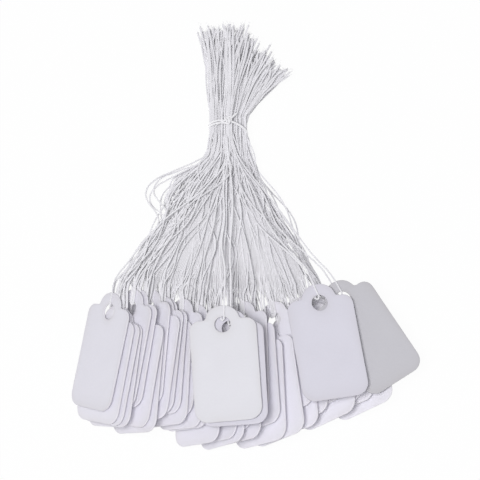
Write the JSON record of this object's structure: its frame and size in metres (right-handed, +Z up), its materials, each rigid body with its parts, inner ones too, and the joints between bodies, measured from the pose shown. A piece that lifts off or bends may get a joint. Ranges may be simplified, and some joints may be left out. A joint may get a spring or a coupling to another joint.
{
  "type": "ring price tag bundle",
  "caption": "Tied bundle of small white card price tags, each with a rounded hump and a hole, hanging on its own looped thread from a wound, knotted neck with a brush of cut ends.",
  "frame": {"origin": "on the table, under the first turn of the tie", "axes": "+Z up, +Y along the bundle from the tags to the cut ends, +X to the right across the bundle"},
  "size_m": [0.0679, 0.0866, 0.0147],
  "materials": {
    "white_card": "matt uncoated card",
    "white_thread": "twisted cotton thread"
  },
  "bodies": {
    "tied_threads": {"thread_hank_1": "white_thread", "thread_hank_2": "white_thread", "thread_hank_3": "white_thread", "thread_hank_4": "white_thread", "thread_hank_5": "white_thread", "thread_hank_6": "white_thread", "thread_hank_7": "white_thread", "thread_hank_8": "white_thread", "thread_hank_9": "white_thread", "front_thread_hank": "white_thread", "tie_winding": "white_thread", "tie_knot": "white_thread"},
    "row_tag_01": {"row_tag_01": "white_card"},
    "row_tag_02": {"row_tag_02": "white_card"},
    "row_tag_03": {"row_tag_03": "white_card"},
    "row_tag_04": {"row_tag_04": "white_card"},
    "row_tag_05": {"row_tag_05": "white_card"},
    "row_tag_06": {"row_tag_06": "white_card"},
    "row_tag_07": {"row_tag_07": "white_card"},
    "row_tag_08": {"row_tag_08": "white_card"},
    "row_tag_09": {"row_tag_09": "white_card"},
    "row_tag_10": {"row_tag_10": "white_card"},
    "row_tag_11": {"row_tag_11": "white_card"},
    "row_tag_12": {"row_tag_12": "white_card"},
    "row_tag_13": {"row_tag_13": "white_card"},
    "row_tag_14": {"row_tag_14": "white_card"},
    "row_tag_15": {"row_tag_15": "white_card"},
    "row_tag_16": {"row_tag_16": "white_card"},
    "row_tag_17": {"row_tag_17": "white_card"},
    "row_tag_18": {"row_tag_18": "white_card"},
    "row_tag_19": {"row_tag_19": "white_card"},
    "row_tag_20": {"row_tag_20": "white_card"},
    "row_tag_21": {"row_tag_21": "white_card"},
    "row_tag_22": {"row_tag_22": "white_card"},
    "row_tag_23": {"row_tag_23": "white_card"},
    "row_tag_24": {"row_tag_24": "white_card"},
    "row_tag_25": {"row_tag_25": "white_card"},
    "row_tag_26": {"row_tag_26": "white_card"},
    "row_tag_27": {"row_tag_27": "white_card"},
    "row_tag_28": {"row_tag_28": "white_card"},
    "row_tag_29": {"row_tag_29": "white_card"},
    "row_tag_30": {"row_tag_30": "white_card"},
    "row_tag_31": {"row_tag_31": "white_card"},
    "row_tag_32": {"row_tag_32": "white_card"},
    "row_tag_33": {"row_tag_33": "white_card"},
    "row_tag_34": {"row_tag_34": "white_card"},
    "row_tag_35": {"row_tag_35": "white_card"},
    "row_tag_36": {"row_tag_36": "white_card"},
    "centre_under_tag": {"centre_under_tag": "white_card"},
    "centre_top_tag": {"centre_top_tag": "white_card"},
    "far_right_tag": {"far_right_tag": "white_card"},
    "right_top_tag": {"right_top_tag": "white_card"}
  },
  "joints": [
    {"name": "row_tag_01_swivel", "type": "hinge", "parent": "tied_threads", "child": "row_tag_01", "pos_m": [-0.02306, -0.03914, 0.00886], "axis": [-0.7547, 0, 0.6561], "range_deg": [0, 34.5]},
    {"name": "row_tag_02_swivel", "type": "hinge", "parent": "tied_threads", "child": "row_tag_02", "pos_m": [-0.02215, -0.04171, 0.00859], "axis": [-0.7547, 0, 0.6561], "range_deg": [0, 34.5]},
    {"name": "row_tag_03_swivel", "type": "hinge", "parent": "tied_threads", "child": "row_tag_03", "pos_m": [-0.02107, -0.04205, 0.00852], "axis": [-0.7547, 0, 0.6561], "range_deg": [0, 34.5]},
    {"name": "row_tag_04_swivel", "type": "hinge", "parent": "tied_threads", "child": "row_tag_04", "pos_m": [-0.02069, -0.04235, 0.00765], "axis": [-0.7547, 0, 0.6561], "range_deg": [0, 34.5]},
    {"name": "row_tag_05_swivel", "type": "hinge", "parent": "tied_threads", "child": "row_tag_05", "pos_m": [-0.01881, -0.03843, 0.00845], "axis": [-0.7547, 0, 0.6561], "range_deg": [0, 34.5]},
    {"name": "row_tag_06_swivel", "type": "hinge", "parent": "tied_threads", "child": "row_tag_06", "pos_m": [-0.0178, -0.0383, 0.00818], "axis": [-0.7547, 0, 0.6561], "range_deg": [0, 34.5]},
    {"name": "row_tag_07_swivel", "type": "hinge", "parent": "tied_threads", "child": "row_tag_07", "pos_m": [-0.01652, -0.04233, 0.00824], "axis": [-0.7547, 0, 0.6561], "range_deg": [0, 34.5]},
    {"name": "row_tag_08_swivel", "type": "hinge", "parent": "tied_threads", "child": "row_tag_08", "pos_m": [-0.0166, -0.0434, 0.00674], "axis": [-0.7547, 0, 0.6561], "range_deg": [0, 12]},
    {"name": "row_tag_09_swivel", "type": "hinge", "parent": "tied_threads", "child": "row_tag_09", "pos_m": [-0.01539, -0.03792, 0.00683], "axis": [-0.7547, 0, 0.6561], "range_deg": [0, 12.5]},
    {"name": "row_tag_10_swivel", "type": "hinge", "parent": "tied_threads", "child": "row_tag_10", "pos_m": [-0.01343, -0.04059, 0.00777], "axis": [-0.7547, 0, 0.6561], "range_deg": [0, 10]},
    {"name": "row_tag_11_swivel", "type": "hinge", "parent": "tied_threads", "child": "row_tag_11", "pos_m": [-0.01283, -0.03955, 0.00714], "axis": [-0.7547, 0, 0.6561], "range_deg": [0, 9]},
    {"name": "row_tag_12_swivel", "type": "hinge", "parent": "tied_threads", "child": "row_tag_12", "pos_m": [-0.0121, -0.03978, 0.00654], "axis": [-0.7547, 0, 0.6561], "range_deg": [0, 9.5]},
    {"name": "row_tag_13_swivel", "type": "hinge", "parent": "tied_threads", "child": "row_tag_13", "pos_m": [-0.01122, -0.0419, 0.00612], "axis": [-0.7547, 0, 0.6561], "range_deg": [0, 10]},
    {"name": "row_tag_14_swivel", "type": "hinge", "parent": "tied_threads", "child": "row_tag_14", "pos_m": [-0.00911, -0.04001, 0.0072], "axis": [-0.7547, 0, 0.6561], "range_deg": [0, 10]},
    {"name": "row_tag_15_swivel", "type": "hinge", "parent": "tied_threads", "child": "row_tag_15", "pos_m": [-0.00813, -0.04258, 0.00657], "axis": [-0.7547, 0, 0.6561], "range_deg": [0, 10.5]},
    {"name": "row_tag_16_swivel", "type": "hinge", "parent": "tied_threads", "child": "row_tag_16", "pos_m": [-0.00734, -0.04266, 0.00616], "axis": [-0.7547, 0, 0.6561], "range_deg": [0, 10.5]},
    {"name": "row_tag_17_swivel", "type": "hinge", "parent": "tied_threads", "child": "row_tag_17", "pos_m": [-0.00622, -0.041, 0.00614], "axis": [-0.7547, 0, 0.6561], "range_deg": [0, 11]},
    {"name": "row_tag_18_swivel", "type": "hinge", "parent": "tied_threads", "child": "row_tag_18", "pos_m": [-0.00528, -0.04561, 0.00591], "axis": [-0.7547, 0, 0.6561], "range_deg": [0, 11.5]},
    {"name": "row_tag_19_swivel", "type": "hinge", "parent": "tied_threads", "child": "row_tag_19", "pos_m": [-0.00476, -0.04291, 0.00519], "axis": [-0.7547, 0, 0.6561], "range_deg": [0, 11.5]},
    {"name": "row_tag_20_swivel", "type": "hinge", "parent": "tied_threads", "child": "row_tag_20", "pos_m": [-0.00363, -0.04267, 0.00519], "axis": [-0.7547, 0, 0.6561], "range_deg": [-1, 11.5]},
    {"name": "row_tag_21_swivel", "type": "hinge", "parent": "tied_threads", "child": "row_tag_21", "pos_m": [-0.00203, -0.04505, 0.0057], "axis": [-0.7547, 0, 0.6561], "range_deg": [0, 13]},
    {"name": "row_tag_22_swivel", "type": "hinge", "parent": "tied_threads", "child": "row_tag_22", "pos_m": [-0.00133, -0.04593, 0.00519], "axis": [-0.7547, 0, 0.6561], "range_deg": [-1, 12.5]},
    {"name": "row_tag_23_swivel", "type": "hinge", "parent": "tied_threads", "child": "row_tag_23", "pos_m": [0.00074, -0.04308, 0.00562], "axis": [-0.749, 0, 0.6626], "range_deg": [0, 14]},
    {"name": "row_tag_24_swivel", "type": "hinge", "parent": "tied_threads", "child": "row_tag_24", "pos_m": [0.00165, -0.04517, 0.00503], "axis": [-0.7296, 0, 0.6839], "range_deg": [-1, 15.5]},
    {"name": "row_tag_25_swivel", "type": "hinge", "parent": "tied_threads", "child": "row_tag_25", "pos_m": [0.00295, -0.03997, 0.00488], "axis": [-0.7095, 0, 0.7047], "range_deg": [-2, 15]},
    {"name": "row_tag_26_swivel", "type": "hinge", "parent": "tied_threads", "child": "row_tag_26", "pos_m": [0.0043, -0.04257, 0.00471], "axis": [-0.6889, 0, 0.7249], "range_deg": [-4, 13.5]},
    {"name": "row_tag_27_swivel", "type": "hinge", "parent": "tied_threads", "child": "row_tag_27", "pos_m": [0.00572, -0.04563, 0.0046], "axis": [-0.6677, 0, 0.7445], "range_deg": [-2, 17.5]},
    {"name": "row_tag_28_swivel", "type": "hinge", "parent": "tied_threads", "child": "row_tag_28", "pos_m": [0.00762, -0.04522, 0.00433], "axis": [-0.6459, 0, 0.7634], "range_deg": [-3, 12.5]},
    {"name": "row_tag_29_swivel", "type": "hinge", "parent": "tied_threads", "child": "row_tag_29", "pos_m": [0.00909, -0.03979, 0.00418], "axis": [-0.6236, 0, 0.7817], "range_deg": [-3, 12.5]},
    {"name": "row_tag_30_swivel", "type": "hinge", "parent": "tied_threads", "child": "row_tag_30", "pos_m": [0.01068, -0.04331, 0.00411], "axis": [-0.6008, 0, 0.7994], "range_deg": [-4, 16.5]},
    {"name": "row_tag_31_swivel", "type": "hinge", "parent": "tied_threads", "child": "row_tag_31", "pos_m": [0.01225, -0.04073, 0.00395], "axis": [-0.5774, 0, 0.8164], "range_deg": [-4, 10.5]},
    {"name": "row_tag_32_swivel", "type": "hinge", "parent": "tied_threads", "child": "row_tag_32", "pos_m": [0.01388, -0.03882, 0.00372], "axis": [-0.5536, 0, 0.8328], "range_deg": [-2.5, 7.5]},
    {"name": "row_tag_33_swivel", "type": "hinge", "parent": "tied_threads", "child": "row_tag_33", "pos_m": [0.0154, -0.04193, 0.00348], "axis": [-0.5294, 0, 0.8484], "range_deg": [-2.5, 5]},
    {"name": "row_tag_34_swivel", "type": "hinge", "parent": "tied_threads", "child": "row_tag_34", "pos_m": [0.01719, -0.03878, 0.00338], "axis": [-0.5047, 0, 0.8633], "range_deg": [-2.5, 7]},
    {"name": "row_tag_35_swivel", "type": "hinge", "parent": "tied_threads", "child": "row_tag_35", "pos_m": [0.01951, -0.03869, 0.00325], "axis": [-0.4795, 0, 0.8775], "range_deg": [-2.5, 8]},
    {"name": "row_tag_36_swivel", "type": "hinge", "parent": "tied_threads", "child": "row_tag_36", "pos_m": [0.02156, -0.03995, 0.003], "axis": [-0.454, 0, 0.891], "range_deg": [-3, 3.5]},
    {"name": "centre_under_tag_swivel", "type": "hinge", "parent": "tied_threads", "child": "centre_under_tag", "pos_m": [0.0004, -0.0436, 0.01322], "axis": [-0.0698, 0, 0.9976], "range_deg": [-15, 15]},
    {"name": "centre_top_tag_swivel", "type": "hinge", "parent": "tied_threads", "child": "centre_top_tag", "pos_m": [-0.001, -0.04299, 0.01403], "axis": [-0.0698, 0, 0.9976], "range_deg": [-20, 20]},
    {"name": "far_right_tag_swivel", "type": "hinge", "parent": "tied_threads", "child": "far_right_tag", "pos_m": [0.0224, -0.03717, 0.01097], "axis": [0.1908, 0, 0.9816], "range_deg": [-15, 20]},
    {"name": "right_top_tag_swivel", "type": "hinge", "parent": "tied_threads", "child": "right_top_tag", "pos_m": [0.0178, -0.03837, 0.01282], "axis": [0.1045, 0, 0.9945], "range_deg": [-10, 15]}
  ]
}
